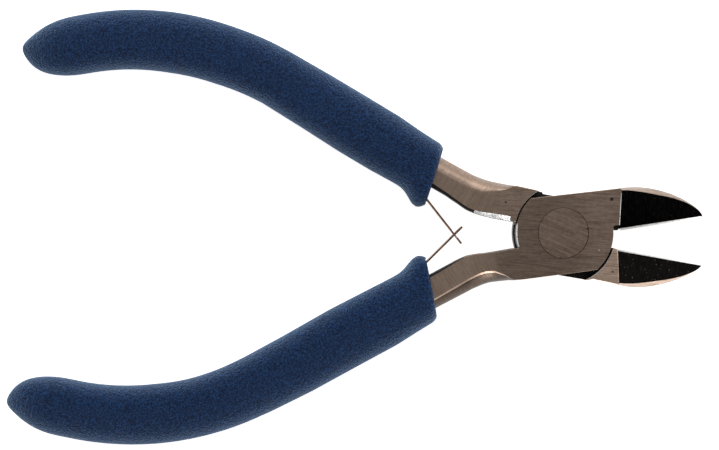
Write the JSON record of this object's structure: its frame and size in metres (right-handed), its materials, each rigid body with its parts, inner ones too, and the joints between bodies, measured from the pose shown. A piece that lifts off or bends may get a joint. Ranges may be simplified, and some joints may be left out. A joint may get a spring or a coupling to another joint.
{
  "type": "diagonal cutting pliers",
  "caption": "Mini diagonal cutting pliers with a riveted lap joint, crossed leaf return springs and soft sleeve grips.",
  "frame": {"origin": "on the pivot axis, in the plane of the joint's back face", "axes": "+X along the tool's middle line towards the jaws, +Z along the pivot axis from the back face to the front face, +Y towards the upper handle"},
  "size_m": [0.1155, 0.0723, 0.009],
  "materials": {
    "forged_steel": "ground and brushed, warm grey",
    "rivet_steel": "ground flush with the joint",
    "spring_steel": "tempered, bronze tint",
    "grip_vinyl": "soft vinyl with a fine pebbled grain"
  },
  "bodies": {
    "front_lever": {"front_half": "forged_steel", "pivot_rivet": "rivet_steel", "lower_spring_base": "spring_steel", "lower_spring_rivet": "rivet_steel", "lower_grip": "grip_vinyl"},
    "rear_lever": {"rear_half": "forged_steel", "upper_spring_base": "spring_steel", "upper_spring_rivet": "rivet_steel", "upper_grip": "grip_vinyl"},
    "lower_leaf": {"lower_spring_blade": "spring_steel"},
    "upper_leaf": {"upper_spring_blade": "spring_steel"}
  },
  "joints": [
    {"name": "jaw_pivot", "type": "hinge", "parent": "front_lever", "child": "rear_lever", "pos_m": [0, 0, 0], "axis": [0, 0, 1], "range_deg": [-1.5, 18.3], "stiffness_Nm_per_rad": 1.2},
    {"name": "lower_leaf_flex", "type": "hinge", "parent": "front_lever", "child": "lower_leaf", "pos_m": [-0.02709, -0.00979, 0.0038], "axis": [0, 0, 1], "range_deg": [-16, 2]},
    {"name": "upper_leaf_flex", "type": "hinge", "parent": "rear_lever", "child": "upper_leaf", "pos_m": [-0.02556, 0.00895, 0.0038], "axis": [0, 0, 1], "range_deg": [-2, 18]}
  ],
  "couplings": [
    {"joint": "lower_leaf_flex", "follows": "jaw_pivot", "ratio": -0.82},
    {"joint": "upper_leaf_flex", "follows": "jaw_pivot", "ratio": 0.95}
  ]
}
